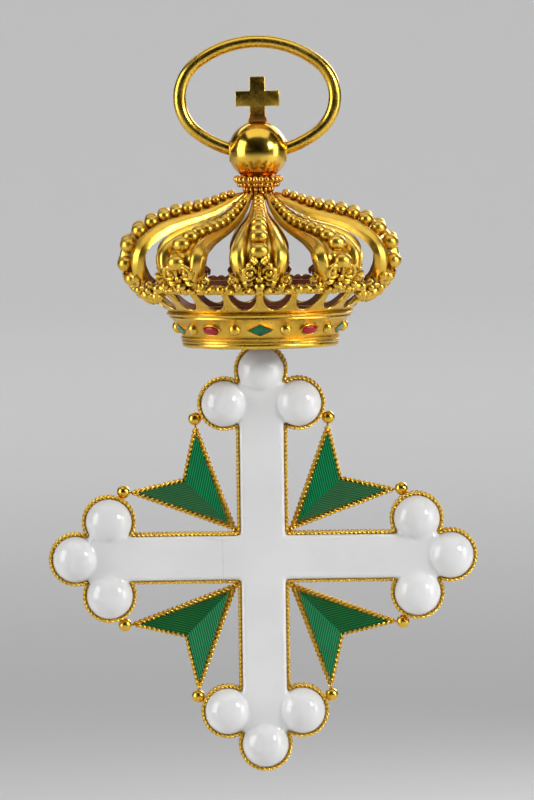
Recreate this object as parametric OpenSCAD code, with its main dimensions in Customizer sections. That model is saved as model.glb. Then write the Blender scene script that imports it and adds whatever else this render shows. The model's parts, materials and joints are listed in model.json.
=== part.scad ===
// Grand cross badge: an oval ring, a ten-arched crown and a trefoil cross with swallow-tailed rays.
// The badge hangs upright: +Z is up, the front faces -Y, the origin is the ring's inside top.
// Heights are given as drops, in millimetres below that hanging point.

/* [Suspension ring] */
// Width of the oval ring over its wire
ring_w = 25.2; // [24.6:0.1:26]
// Height of the oval ring over its wire
ring_h = 18.6; // [18.4:0.1:18.9]
// Diameter of the ring's wire
ring_wire_d = 1.9; // [1.7:0.1:2]
// Radius of the wire's centre line round the two ends of the oval
ring_end_r = 6.6; // [6.4:0.1:6.8]

/* [Orb and small cross] */
// Diameter of the orb
orb_d = 9; // [8.8:0.1:9.2]
// Drop of the orb's centre
orb_drop = 15.3; // [15.2:0.05:15.4]
// Radial clearance round the ring's wire in the orb's sideways bore
bore_clear = 0.07; // [0.05:0.01:0.1]
// Span of the small cross over its arms
small_cross_w = 6.6; // [6:0.1:6.8]
// Drop of the small cross's top
small_cross_drop = 4.3; // [4.2:0.1:4.8]
// Width of the small cross's limbs
small_cross_limb = 2.3; // [2:0.1:2.5]
// Front-to-back thickness of the small cross
small_cross_t = 1.6; // [1.2:0.1:2]
// Radius of the collar under the orb, to the middle of its beads
collar_r = 3.25; // [3.1:0.05:3.4]
// Radius of the neck between the collar and the arches
neck_r = 2.15; // [2.05:0.05:2.25]

/* [Crown] */
// Thickness of the arches' metal under the ridge
arch_t = 0.9; // [0.7:0.05:1]
// Radius of the band's rim moulding
band_rim_r = 13.7; // [13.6:0.05:13.8]
// Radius of the band's bottom edge
band_foot_r = 11.3; // [11.2:0.05:11.5]
// Drop of the band's rim moulding
band_rim_drop = 39.7; // [39.6:0.05:39.8]
// Drop of the band's bottom edge
band_foot_drop = 44.7; // [44.6:0.05:44.8]
// Wall thickness of the band and of the gallery above it
band_wall = 0.9; // [0.8:0.05:1]
// Radius of the round cut of each gallery scallop
scallop_r = 2; // [1.9:0.05:2.05]
// Length of each green lozenge on the band
lozenge_w = 3.5; // [3:0.1:3.6]
// Height of each green lozenge on the band
lozenge_h = 1.8; // [1.6:0.1:1.9]
// Length of each red oval on the band
oval_w = 2.4; // [2.2:0.1:2.6]
// Height of each red oval on the band
oval_h = 1.65; // [1.5:0.05:1.8]

/* [Cross] */
// Drop of the cross's centre
cross_drop = 76.4; // [76.3:0.1:77]
// Distance from the centre to the middle of each end lobe
end_lobe_at = 28.1; // [27.9:0.1:28.1]
// Distance along an arm to the middle of its two side lobes
side_lobe_at = 23.1; // [23:0.05:23.2]
// Distance of a side lobe's middle from the arm's centre line
side_lobe_off = 5.55; // [5.4:0.05:5.6]
// Radius of the gold border round a lobe
lobe_gold_r = 4; // [3.9:0.05:4]
// Width of an arm over its gold border
arm_gold_w = 7.6; // [7.4:0.1:7.7]
// Width of the gold border seen from the front
border_w = 0.5; // [0.45:0.05:0.55]
// Half thickness of the gold cross at its border
border_y = 1.4; // [1.3:0.05:1.5]
// Height of the enamelled arms above the middle plane
arm_enamel_y = 2.2; // [2:0.1:2.4]
// Height of the enamelled lobes above the middle plane
lobe_enamel_y = 3.9; // [3.7:0.1:4]

/* [Rays] */
// Distance of a ray's inner point from each axis of the cross
ray_point = 4.3; // [4.2:0.1:4.4]
// Distance of a ray's notch from each axis of the cross
ray_notch = 12; // [11.6:0.1:12.4]
// Distance of a ray's tip from the arm that it stands beside
ray_tip_near = 10; // [9.9:0.05:10.1]
// Distance of a ray's tip from the other axis of the cross
ray_tip_far = 20.85; // [20.8:0.05:20.9]
// Diameter of the ball on each ray tip
ray_ball_d = 2; // [1.8:0.1:2.1]
// Width of a ray's gold border
ray_border_w = 0.6; // [0.5:0.05:0.65]

/* [Hinge] */
// Radius of the bar across the inside of the band
bar_r = 0.7; // [0.6:0.05:0.75]
// Height of the bar above the band's bottom edge
bar_up = 2.3; // [2.2:0.05:2.4]
// Radial clearance of the cross's eye round the bar
eye_clear = 0.07; // [0.04:0.01:0.09]

/* [Hidden] */
$fn = 96;
arch_count = 10;
arch_step = 360 / arch_count;
stone_step = arch_step / 2;
hair_gap = 0.03;

// The oval is four arcs: two of ring_end_r round its ends and two of ring_side_r between them.
// The side arcs are a hair thinner and run a little way into the end arcs.
ring_a = (ring_w - ring_wire_d) / 2;
ring_b = (ring_h - ring_wire_d) / 2;
ring_drop = ring_b - ring_wire_d / 2;
end_at = ring_a - ring_end_r;
ring_side_r = (end_at ^ 2 + ring_b ^ 2 - ring_end_r ^ 2) / (2 * (ring_b - ring_end_r));
end_half_angle = atan2(ring_side_r - ring_b, end_at);
arc_lap = 1;
arc_thinner = 0.02;

// The wire is bent inside the orb, so its bore allows for the bend's sag between the two mouths
orb_r = orb_d / 2;
mouth_at = orb_r - 0.15;
mouth_rim = 0.3;
mouth_depth = 0.5;
wire_sag = ring_side_r - sqrt(ring_side_r ^ 2 - mouth_at ^ 2);
bore_drop = ring_drop + ring_b - wire_sag / 2;
bore_r = ring_wire_d / 2 + wire_sag / 2 + bore_clear;
orb_seat = 0.2;
small_cross_foot_drop = orb_drop - orb_r + orb_seat - hair_gap;
small_cross_flare = 1.3;

neck_top_drop = orb_drop + orb_r - orb_seat + hair_gap;
neck_foot_drop = 22.7;
collar_drop = 20.05;
collar_bead_r = 0.58;
collar_beads = 16;
// Section of the neck below its flat top
// columns: radius, drop
NECK = [
    [1.5, neck_top_drop],
    [2.6, collar_drop - 0.5],
    [collar_r, collar_drop - 0.3],
    [collar_r, collar_drop + 0.35],
    [neck_r, collar_drop + 0.9],
    [neck_r, neck_foot_drop],
];

// Skin of the crown from the neck to the wreath's foot, seen in section at its sides
// columns: radius from the crown's axis, drop, half width of an arch, diameter of its pearls,
// how much lower the skin runs on the arches next to the front and back ones
ARCH = [
    [2.5, 21.75, 0.62, 0.8, 0],
    [4.4, 22.2, 0.95, 1.1, 1.4],
    [7.0, 23.2, 1.3, 1.3, 2.1],
    [8.7, 23.8, 1.5, 1.45, 2.3],
    [10.5, 24.25, 1.8, 1.6, 2.4],
    [12.4, 24.7, 2.15, 1.75, 2.4],
    [15.2, 25.6, 2.85, 1.9, 2.1],
    [17.4, 26.8, 3.5, 2.05, 1.6],
    [19.1, 28.2, 4.1, 2.25, 1.0],
    [20.1, 29.8, 4.45, 2.3, 0.4],
    [20.4, 31.4, 4.4, 2.25, 0],
    [20.1, 33.0, 3.9, 2.0, 0],
    [19.3, 34.3, 3.3, 1.9, 0],
    [18.3, 35.3, 2.8, 1.8, 0],
    [17.6, 36.2, 2.5, 1.8, 0],
    [16.8, 37.3, 2.5, 1.8, 0],
];
arch_rows = 14;
// The front arch, the four after it and so on round the crown
// columns: share of the lowering, share of the lean of its section towards the crown's front or back,
// share of that lean on its higher half, extra half width for each millimetre of lowering
ARCH_KINDS = [[0.4, 0, 1, 0], [1, 1, 1, 0], [0, 1.3, 0, 0.2], [0, -1.3, 0, 0.2], [1, -1, 1, 0]];
// Lean of a section for each millimetre of lowering, times its radius
lean_rate = 1.4;
wreath_drop = ARCH[arch_rows - 1][1] + hair_gap;
wreath_foot = ARCH[len(ARCH) - 1];
wreath_t = 1.1;

// Section across an arch: a ridge under the pearls, a channel and a roll on each side, an edge
// columns: place as a share of the half width, height over the skin in millimetres
ARCH_HALF = [[1, -0.55], [0.93, 0.02], [0.72, 0.42], [0.52, 0.05], [0.36, -0.08], [0.26, 0.2]];
ARCH_INNER = [[-0.9, -1], [-0.35, -0.75], [0.35, -0.75], [0.9, -1]];
// The relief is full from this half width on, and a narrow arch keeps a share of its thickness
full_relief_w = 3.4;
least_t_share = 0.6;
pearl_lift_share = 0.3;

// The skin with a share of the lowering, its running length, and a column as a table against that
function lowered(share) = [for (p = ARCH) [p[0], p[1] + share * p[4], p[2], p[3], p[4]]];
function run_to(rows, i) =
    i == 0 ? 0 : run_to(rows, i - 1) + norm([for (c = [0, 1]) rows[i][c] - rows[i - 1][c]]);
function column(rows, c) = [for (i = [0:len(rows) - 1]) [run_to(rows, i), rows[i][c]]];
function skin(rows, s) = [lookup(s, column(rows, 0)), -lookup(s, column(rows, 1))];
function skin_way(rows, s) = let (d = skin(rows, s + 0.2) - skin(rows, s - 0.2)) d / norm(d);
function skin_out(rows, s) = let (t = skin_way(rows, s)) [-t[1], t[0]];

// Pearls stand shoulder to shoulder along the ridge, from above the leaves up to the neck
pearl_first = 1.2;
pearl_last_row = 9;
pearl_pitch = 1.05;
function pearl_d(rows, s) = lookup(s, column(rows, 3));
function pearl_row(rows, s) = s < pearl_first ? [] :
    concat([s], pearl_row(rows, s - pearl_pitch * pearl_d(rows, s - pearl_d(rows, s) / 2)));

// Leaves of one fleuron, right half: the rows with a place of 0 across stand on its centre line
// columns: place across, height of its middle over the wreath's foot, turn, length, width, lift
LEAVES = [
    [0, 5.5, 0, 2.6, 2.2, 0.95],
    [1.7, 4.2, 34, 2.9, 2.0, 1.0],
    [2.8, 2.6, 66, 2.8, 1.9, 0.8],
    [4.0, 1.1, 95, 2.5, 1.6, 0.4],
    [1.3, 0.5, 150, 1.8, 1.5, 0.4],
];
// Pearls of one fleuron, right half
// columns: place across, height over the wreath's foot, diameter, lift
FLOWERS = [[0, 3.9, 1.8, 1.15], [0, 2.3, 1.9, 1.0], [1.5, 2.9, 1.4, 1.1], [3.0, 1.4, 1.5, 0.6]];
// The pearl on the hoop between two fleurons
sprig_pearl_d = 1.6;
sprig_pearl_up = 1.1;
sprig_pearl_lift = 0.4;
pearl_sides = 8;
// A leaf is widest and highest a little below its middle, at these shares of its length
leaf_t = 0.8;
leaf_wide_at = -0.05;
leaf_high_at = -0.1;
hoop_sides = 50;
hoop_foot_more = 0.3;

// Outside of the band and gallery, and the slope of the face that carries the stones
band_face_top = [13.15, 40.45];
band_face_foot = [11.6, 43.2];
gallery_top = [16.3, 37.33];
stone_drop = 41.8;
stone_share = (stone_drop - band_face_top[1]) / (band_face_foot[1] - band_face_top[1]);
stone_r = band_face_top[0] + stone_share * (band_face_foot[0] - band_face_top[0]);
band_slope = atan2(band_face_top[0] - band_face_foot[0], band_face_foot[1] - band_face_top[1]);
scallop_drop = 36.85;
scallop_cut = 8;
band_ball_r = 0.65;
seat_h = 0.35;
seat_w = 0.35;
stone_h = 0.75;
// Mouldings of the band, from its rim and from its bottom edge
// columns: outward, upward
RIM_BEAD = [[0, 0.35], [0.15, 0.1], [0.15, -0.25], [-0.25, -0.55]];
FOOT_BEAD = [[0.5, 1.3], [0.25, 0.9], [0, 0]];
// Step under the rim's moulding, where the face begins
face_step = 0.1;
// More wall where it slants: at the face's top, at the rim and at the gallery's top
WALL_LEAN = [0.3, 0.2, 0.1];

// The bar's ends sit in blind holes of this depth in the band
bar_bite = 0.55;
bar_drop = band_foot_drop - bar_up;
bar_half = band_foot_r - band_wall + bar_bite;
bar_socket = hair_gap;
eye_r = bar_r + eye_clear;
eye_out_r = 1.65;
eye_half = 1.3;

web_y = 0.8;
white_lobe_r = lobe_gold_r - border_w;
white_arm_w = arm_gold_w - 2 * border_w;
arm_shoulder = 0.5;
arm_reach = side_lobe_at + 2;
white_gap = hair_gap;
dome_rise = lobe_enamel_y - web_y;
dome_r = (dome_rise ^ 2 + (white_lobe_r - white_gap) ^ 2) / (2 * dome_rise);

ray_y = 0.75;
ray_web_y = 0.3;
ray_ridge_y = 1.35;
ray_ridge_in_y = 0.9;

// Tools that cut reach this far past what they cut
over = 1;

// A closed solid through rings of points that all have the same count
module loft(rings) {
    n = len(rings[0]);
    m = len(rings);
    sides = [
        for (i = [0:m - 2], j = [0:n - 1])
            let (a = i * n + j, b = i * n + (j + 1) % n)
                each [[a, a + n, b + n], [a, b + n, b]]
    ];
    caps = [[for (j = [0:n - 1]) j], [for (j = [n - 1:-1:0]) (m - 1) * n + j]];
    polyhedron(points = [for (ring = rings) each ring], faces = concat(sides, caps));
}

// Puts a shape drawn in the XZ plane, outward along -Y, on the crown's skin in front, at a
// running length s from the neck, lifted off the skin and moved round the crown by across
module on_skin(rows, s, lift = 0, across = 0) {
    out = skin_out(rows, s);
    p = skin(rows, s) + lift * out;
    rotate([0, 0, across / p[0] * 180 / PI])
        translate([0, -p[0], p[1]]) rotate([-atan2(out[1], out[0]), 0, 0]) children();
}

module on_band(angle) {
    rotate([0, 0, angle]) translate([0, -stone_r, -stone_drop]) rotate([band_slope, 0, 0]) children();
}

// A plate in the XZ plane that stands out along -Y
module plate(h) {
    rotate([90, 0, 0]) linear_extrude(height = h) children();
}

module at_cross() {
    translate([0, 0, -cross_drop]) children();
}

module suspension_ring() {
    color("goldenrod") translate([0, 0, -ring_drop]) rotate([90, 0, 0]) {
        for (side = [0, 180])
            rotate([0, 0, side]) {
                translate([end_at, 0, 0]) rotate([0, 0, -end_half_angle])
                    rotate_extrude(angle = 2 * end_half_angle)
                        translate([ring_end_r, 0]) circle(d = ring_wire_d);
                translate([0, ring_b - ring_side_r, 0]) rotate([0, 0, end_half_angle - arc_lap])
                    rotate_extrude(angle = 180 - 2 * (end_half_angle - arc_lap))
                        translate([ring_side_r, 0]) circle(d = ring_wire_d - arc_thinner);
            }
    }
}

module small_cross() {
    limb = small_cross_limb / 2;
    arm = small_cross_w / 2;
    top = -small_cross_drop;
    arm_z = top - arm;
    foot_z = -small_cross_foot_drop;
    foot = limb * small_cross_flare;
    half = [[limb, top], [limb, arm_z + limb], [arm, arm_z + limb], [arm, arm_z - limb],
        [limb, arm_z - limb], [limb, foot_z + limb], [foot, foot_z]];
    color("darkgoldenrod") translate([0, small_cross_t / 2, 0]) plate(small_cross_t)
        polygon(concat(half, [for (i = [len(half) - 1:-1:0]) [-half[i][0], half[i][1]]]));
}

module orb() {
    color("goldenrod") difference() {
        union() {
            translate([0, 0, -orb_drop]) rotate([0, 90, 0]) sphere(r = orb_r);
            for (side = [0, 180])
                translate([0, 0, -bore_drop]) rotate([0, 90, side])
                    translate([0, 0, mouth_at - mouth_depth])
                        cylinder(r = bore_r + mouth_rim, h = mouth_depth);
        }
        translate([0, 0, -bore_drop]) rotate([0, 90, 0]) cylinder(r = bore_r, h = 2 * orb_d, center = true);
        for (side = [-1, 1])
            translate([0, 0, -orb_drop + side * (1.5 * orb_r - orb_seat)])
                cube([orb_d, orb_d, orb_r], center = true);
    }
}

module neck() {
    color("orange") {
        rotate_extrude() polygon(concat([[0, -neck_top_drop]], [for (p = NECK) [p[0], -p[1]]],
            [[0, -neck_foot_drop]]));
        for (i = [0:collar_beads - 1])
            rotate([0, 0, i * 360 / collar_beads]) translate([0, -collar_r, -collar_drop])
                sphere(r = collar_bead_r);
    }
}

// The first section lies against the neck as that of an arch that isn't lowered
function arch_ring(rows, i, kind) =
    let (
        out = i == 0 ? skin_out(ARCH, 0) : skin_out(rows, run_to(rows, i)),
        w = rows[i][2] + kind[3] * rows[i][4],
        slope = kind[1] * lean_rate * rows[i][4] / rows[i][0],
        relief = min(1, w / full_relief_w),
        across = concat(
            [for (p = ARCH_HALF) [p[0] * w, p[1] * relief]],
            [for (j = [len(ARCH_HALF) - 1:-1:0]) [-ARCH_HALF[j][0] * w, ARCH_HALF[j][1] * relief]],
            [for (p = ARCH_INNER) [p[0] * w, p[1] * arch_t * max(least_t_share, relief)]]
        )
    )
    [for (p = across)
        let (rise = slope * p[0] * (slope * p[0] > 0 ? kind[2] : 1))
        [p[0], -(rows[i][0] + p[1] * out[0]), -rows[i][1] + p[1] * out[1] + rise]];

module arch(i) {
    kind = ARCH_KINDS[i % len(ARCH_KINDS)];
    rows = lowered(kind[0]);
    color("gold") rotate([0, 0, i * arch_step]) {
        loft([for (k = [0:arch_rows - 1]) arch_ring(rows, k, kind)]);
        for (s = pearl_row(rows, run_to(rows, pearl_last_row)))
            let (d = pearl_d(rows, s)) on_skin(rows, s, pearl_lift_share * d) sphere(d = d);
    }
}

// A leaf about its own middle: a hull of six points, thin at the edge and raised along its vein
module leaf(l, w) {
    wide = leaf_wide_at * l;
    high = leaf_high_at * l;
    hull() polyhedron(
        points = [[0, 0, -l / 2], [w / 2, 0, wide], [0, 0, l / 2], [-w / 2, 0, wide],
            [0, -leaf_t / 2, high], [0, leaf_t / 2, high]],
        faces =[[0, 1, 4], [1, 2, 4], [2, 3, 4], [3, 0, 4], [1, 0, 5], [2, 1, 5], [3, 2, 5], [0, 3, 5]]);
}

module wreath() {
    foot_run = run_to(ARCH, len(ARCH) - 1);
    foot_drop = wreath_foot[1];
    top_r = ARCH[arch_rows - 1][0];
    color("darkgoldenrod") {
        rotate_extrude($fn = hoop_sides) polygon([[top_r, -wreath_drop], [wreath_foot[0], -foot_drop],
            [wreath_foot[0] - wreath_t - hoop_foot_more, -foot_drop], [top_r - wreath_t, -wreath_drop]]);
        for (i = [0:arch_count - 1])
            rotate([0, 0, i * arch_step]) {
                for (p = LEAVES, side = p[0] == 0 ? [1] : [-1, 1])
                    on_skin(ARCH, foot_run - p[1], p[5], side * p[0]) rotate([0, side * p[2], 0]) leaf(p[3], p[4]);
                for (p = FLOWERS, side = p[0] == 0 ? [1] : [-1, 1])
                    on_skin(ARCH, foot_run - p[1], p[3], side * p[0]) sphere(d = p[2], $fn = pearl_sides);
                rotate([0, 0, stone_step]) on_skin(ARCH, foot_run - sprig_pearl_up, sprig_pearl_lift)
                    sphere(d = sprig_pearl_d, $fn = pearl_sides);
            }
    }
}

module crown_band() {
    rim = [band_rim_r, -band_rim_drop];
    foot = [band_foot_r, -band_foot_drop];
    outside = concat([[gallery_top[0], -gallery_top[1]]], [for (p = RIM_BEAD) rim + p],
        [[band_face_top[0], -band_face_top[1] - face_step], [band_face_foot[0], -band_face_foot[1]]],
        [for (p = FOOT_BEAD) foot + p]);
    inside = [foot - [band_wall, 0], [band_face_top[0] - band_wall - WALL_LEAN[0], -band_face_top[1]],
        rim - [band_wall + WALL_LEAN[1], -WALL_LEAN[1]],
        [gallery_top[0] - band_wall - WALL_LEAN[2], -gallery_top[1]]];
    color("gold") difference() {
        union() {
            rotate_extrude() polygon(concat(outside, inside));
            for (k = [0:2 * arch_count - 1])
                on_band(k * stone_step) {
                    if (k % 2 == 1) sphere(r = band_ball_r);
                    if (k % 4 == 0) translate([0, seat_h, 0]) plate(2 * seat_h)
                        polygon(lozenge(lozenge_w + 2 * seat_w, lozenge_h + 2 * seat_w));
                    if (k % 4 == 2) translate([0, seat_h, 0]) plate(2 * seat_h)
                        polygon(oval(oval_w + 2 * seat_w, oval_h + 2 * seat_w));
                }
        }
        for (k = [0:2 * arch_count - 1])
            rotate([0, 0, (k + 0.5) * stone_step]) translate([0, -rim[0], -scallop_drop])
                rotate([90, 0, 0]) cylinder(r = scallop_r, h = scallop_cut, center = true);
        translate([0, 0, -bar_drop]) rotate([0, 90, 0])
            cylinder(r = bar_r + bar_socket, h = 2 * (bar_half + bar_socket), center = true);
    }
}

function lozenge(w, h) = [[w / 2, 0], [0, h / 2], [-w / 2, 0], [0, -h / 2]];
function oval(w, h) = [for (a = [0:30:330]) [w / 2 * cos(a), h / 2 * sin(a)]];

// A stone drawn from its outline: rings of points at shares of its size and of its height
module stone(outline, shares) {
    foot = seat_h + hair_gap;
    loft([for (p = shares) [for (q = outline) [q[0] * p[0], -foot - p[1] * stone_h, q[1] * p[0]]]]);
}

module green_lozenge(i) {
    color("seagreen") on_band(4 * i * stone_step)
        stone(lozenge(lozenge_w, lozenge_h), [[1, 0], [1, 0.25], [0.72, 0.7], [0.4, 1]]);
}

module red_oval(i) {
    color("crimson") on_band((4 * i + 2) * stone_step)
        stone(oval(oval_w, oval_h), [[1, 0], [0.96, 0.4], [0.75, 0.75], [0.4, 0.97], [0.05, 1.02]]);
}

module hinge_bar() {
    color("goldenrod") translate([0, 0, -bar_drop]) rotate([0, 90, 0])
        cylinder(r = bar_r, h = 2 * bar_half, center = true);
}

// The cross's outline as a slab between two heights above the middle plane
module trefoil_cross(lobe_r, arm_w, low, high) {
    for (a = [0:90:270])
        rotate([0, a, 0]) {
            translate([-arm_w / 2, -high, 0]) cube([arm_w, high - low, end_lobe_at]);
            for (p = [[0, end_lobe_at], [side_lobe_off, side_lobe_at], [-side_lobe_off, side_lobe_at]])
                translate([p[0], -low, p[1]]) rotate([90, 0, 0]) cylinder(r = lobe_r, h = high - low);
        }
}

// Corners of a ray moved inwards by d: inner point, tip beside the upright arm, notch, other tip
function ray_corners(d) =
    let (
        corner = [[ray_point, ray_point], [ray_tip_near, ray_tip_far], [ray_notch, ray_notch],
            [ray_tip_far, ray_tip_near]],
        way = [for (i = [0:3]) let (e = corner[(i + 1) % 4] - corner[i]) e / norm(e)]
    )
    [for (i = [0:3])
        let (p = (i + 3) % 4, sine = way[p][0] * way[i][1] - way[p][1] * way[i][0])
            corner[i] + d * (way[i] - way[p]) / -sine];

module each_ray(i) {
    mirror([i == 1 || i == 2 ? 1 : 0, 0, 0]) mirror([0, 0, i >= 2 ? 1 : 0]) children();
}

module cross_frame() {
    color("gold") at_cross() {
        difference() {
            trefoil_cross(lobe_gold_r, arm_gold_w, -border_y, border_y);
            trefoil_cross(white_lobe_r, white_arm_w, web_y, border_y + over);
            trefoil_cross(white_lobe_r, white_arm_w, -border_y - over, -web_y);
        }
        for (i = [0:3])
            each_ray(i) {
                difference() {
                    translate([0, ray_y, 0]) plate(2 * ray_y) polygon(ray_corners(0));
                    translate([0, -ray_web_y, 0]) plate(over) polygon(ray_corners(ray_border_w));
                    translate([0, ray_web_y + over, 0]) plate(over) polygon(ray_corners(ray_border_w));
                }
                for (p = [[ray_tip_near, ray_tip_far], [ray_tip_far, ray_tip_near]])
                    translate([p[0], 0, p[1]]) sphere(d = ray_ball_d);
            }
    }
    color("gold") difference() {
        union() {
            translate([0, 0, -bar_drop]) rotate([0, 90, 0])
                cylinder(r = eye_out_r, h = 2 * eye_half, center = true);
            translate([-eye_half, -web_y, -cross_drop + end_lobe_at + white_lobe_r])
                cube([2 * eye_half, 2 * web_y, cross_drop - bar_drop - end_lobe_at - white_lobe_r]);
        }
        translate([0, 0, -bar_drop]) rotate([0, 90, 0]) cylinder(r = eye_r, h = 4 * eye_half, center = true);
    }
}

module white_enamel() {
    half = white_arm_w / 2 - white_gap;
    low = web_y + hair_gap;
    section = [[half, low], [half, arm_enamel_y - arm_shoulder], [half - arm_shoulder, arm_enamel_y],
        [arm_shoulder - half, arm_enamel_y], [-half, arm_enamel_y - arm_shoulder], [-half, low]];
    color("white") at_cross() difference() {
        for (a = [0:90:270])
            rotate([0, a, 0]) {
                linear_extrude(height = arm_reach) polygon([for (p = section) [p[0], -p[1]]]);
                for (p = [[0, end_lobe_at], [side_lobe_off, side_lobe_at], [-side_lobe_off, side_lobe_at]])
                    translate([p[0], dome_r - lobe_enamel_y, p[1]]) sphere(r = dome_r);
            }
        translate([-cross_drop, -low, -cross_drop]) cube(2 * cross_drop);
    }
}

// Two flat facets that meet in a ridge from the ray's notch to its inner point
module ray_enamel(i) {
    corner = ray_corners(ray_border_w + hair_gap);
    top_y = [ray_ridge_in_y, ray_y, ray_ridge_y, ray_y];
    color("green") at_cross() each_ray(i)
        polyhedron(
            points = concat([for (p = corner) [p[0], -ray_web_y - hair_gap, p[1]]],
                [for (j = [0:3]) [corner[j][0], -top_y[j], corner[j][1]]]),
            faces = concat([[0, 3, 2], [0, 2, 1], [4, 5, 6], [4, 6, 7]],
                [for (j = [0:3]) let (k = (j + 1) % 4) each [[j, k, k + 4], [j, k + 4, j + 4]]]));
}

suspension_ring();
small_cross();
orb();
neck();
for (i = [1:arch_count])
    arch(i - 1);
wreath();
crown_band();
for (i = [1:5]) {
    green_lozenge(i - 1);
    red_oval(i - 1);
}
hinge_bar();
cross_frame();
white_enamel();  // white_enamel_front
rotate([0, 0, 180]) white_enamel();  // white_enamel_back
for (i = [1:4]) {
    ray_enamel(i - 1);
    rotate([0, 0, 180]) ray_enamel(i - 1);
}
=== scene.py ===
import json
from math import acos, asin, atan2, ceil, copysign, cos, dist, exp, hypot, pi, radians, sin, sqrt

import bmesh
import bpy
from mathutils import Matrix, Vector


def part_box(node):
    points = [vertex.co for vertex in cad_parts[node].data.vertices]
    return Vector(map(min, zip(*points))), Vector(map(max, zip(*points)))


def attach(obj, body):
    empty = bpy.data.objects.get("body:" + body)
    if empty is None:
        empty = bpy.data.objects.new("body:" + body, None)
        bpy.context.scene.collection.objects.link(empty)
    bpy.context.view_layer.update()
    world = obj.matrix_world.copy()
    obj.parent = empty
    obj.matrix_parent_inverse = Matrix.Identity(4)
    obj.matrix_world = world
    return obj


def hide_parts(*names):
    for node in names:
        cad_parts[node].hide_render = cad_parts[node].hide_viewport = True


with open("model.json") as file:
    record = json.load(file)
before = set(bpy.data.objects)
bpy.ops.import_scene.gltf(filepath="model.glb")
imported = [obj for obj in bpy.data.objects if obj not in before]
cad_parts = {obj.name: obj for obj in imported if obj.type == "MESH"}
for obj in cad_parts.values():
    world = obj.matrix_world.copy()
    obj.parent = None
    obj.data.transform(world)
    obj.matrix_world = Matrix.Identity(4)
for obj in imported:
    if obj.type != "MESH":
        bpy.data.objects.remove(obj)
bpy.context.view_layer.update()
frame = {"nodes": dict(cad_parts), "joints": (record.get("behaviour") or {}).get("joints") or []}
scene = bpy.context.scene
ops = bmesh.ops

# Pieces are shaped in millimetres, and piece() makes them metres
MM = 0.001


def box_mm(node):
    """Lowest and highest corner of a node of the badge, in millimetres."""
    lo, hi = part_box(node)
    return lo / MM, hi / MM


# Heights of the sideways bore in the orb and of the hinge under the crown, from the badge's joints
BORE_Z, HINGE_Z = (joint["pos_m"][2] / MM for joint in frame["joints"])
RING_LO, RING_HI = box_mm("suspension_ring")
ORB_LO, ORB_HI = box_mm("orb")
SMALL_LO, SMALL_HI = box_mm("small_cross")
NECK_LO, NECK_HI = box_mm("neck")

# Suspension ring and orb
RING_END_R = 6.6
RING_STEP = 0.3
BORE_R = 1.35
MOUTH_ROLL_R = 0.2
ORB_INSET = 0.04
SMALL_CROSS_LIMB = 1.15
SMALL_CROSS_EDGE = 0.11

# Skin of the crown from the neck to the foot of the wreath, seen in section at its sides
# columns: radius from the crown's axis, drop, half width of an arch, diameter of its pearls,
# how much lower the skin runs on the arches next to the front and back ones
ARCH = [
    (2.5, 21.75, 0.62, 0.8, 0.0),
    (4.4, 22.2, 0.95, 1.1, 1.4),
    (7.0, 23.2, 1.3, 1.3, 2.1),
    (8.7, 23.8, 1.5, 1.45, 2.3),
    (10.5, 24.25, 1.8, 1.6, 2.4),
    (12.4, 24.7, 2.15, 1.75, 2.4),
    (15.2, 25.6, 2.85, 1.9, 2.1),
    (17.4, 26.8, 3.5, 2.05, 1.6),
    (19.1, 28.2, 4.1, 2.25, 1.0),
    (20.1, 29.8, 4.45, 2.3, 0.4),
    (20.4, 31.4, 4.4, 2.25, 0.0),
    (20.1, 33.0, 3.9, 2.0, 0.0),
    (19.3, 34.3, 3.3, 1.9, 0.0),
    (18.3, 35.3, 2.8, 1.8, 0.0),
    (17.6, 36.2, 2.5, 1.8, 0.0),
    (16.8, 37.3, 2.5, 1.8, 0.0),
]
# The front arch, the four after it and so on round the crown
# columns: share of the lowering, share of the lean of its section towards the crown's front or back,
# share of that lean on its higher half, extra half width for each millimetre of lowering,
# row of the skin's table where its pearls end
ARCH_KINDS = [
    (0.4, 0, 1, 0, 9),
    (1, 1, 1, 0, 10),
    (0, 1.3, 0, 0.2, 11.6),
    (0, -1.3, 0, 0.2, 11.6),
    (1, -1, 1, 0, 10),
]
# Lean of a section for each millimetre of lowering, times its radius
LEAN_RATE = 1.4
ARCHES = 10
ARCH_STEP = 2 * pi / ARCHES
ARCH_LAST_ROW = 13
ARCH_T = 0.8
FULL_RELIEF_W = 3.4
PEARL_FIRST = 1.2
PEARL_PITCH = 1.07
PEARL_LIFT = 0.32
PEARL_ACROSS = 0.64
PEARL_ALONG = 0.54

# Cross
CROSS_Z = -76.4
END_LOBE_AT = 28.1
SIDE_LOBE_AT = 23.1
SIDE_LOBE_OFF = 5.55
LOBE_R = 4.0
ARM_HALF = 3.8
BORDER_W = 0.5
ROPE_R = 0.35
BODY_HALF_T = 1.25
ENAMEL_LOW = 0.83
ARM_TOP = 2.2
LOBE_TOP = 3.9
ARM_SHOULDER = 0.55

# Rays, as distances from the two axes of the cross
RAY_POINT = 3.7
RAY_NOTCH = 12.0
RAY_TIP = (10.0, 20.85)
RAY_BALL_R = 1.0
SOLDER_R = 0.55
RAY_ROPE_Y = 0.45
CROSS_LAY = 1.32
RAY_LAY = 1.5
RAY_ROPE_THICK = 1.22


def clamp(x, low=0.0, high=1.0):
    return max(low, min(high, x))


def smooth_step(a, b, x):
    t = clamp((x - a) / (b - a))
    return t * t * (3 - 2 * t)


def catmull(rows, t):
    """A smooth curve through the rows of a table, t counting rows."""
    i = min(int(t), len(rows) - 2)
    f = t - i
    a, b, c, d = (rows[max(0, min(len(rows) - 1, i + k))] for k in (-1, 0, 1, 2))
    return tuple(
        0.5 * (2 * q + (r - p) * f + (2 * p - 5 * q + 4 * r - s) * f**2 + (3 * q - p - 3 * r + s) * f**3)
        for p, q, r, s in zip(a, b, c, d)
    )


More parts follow.
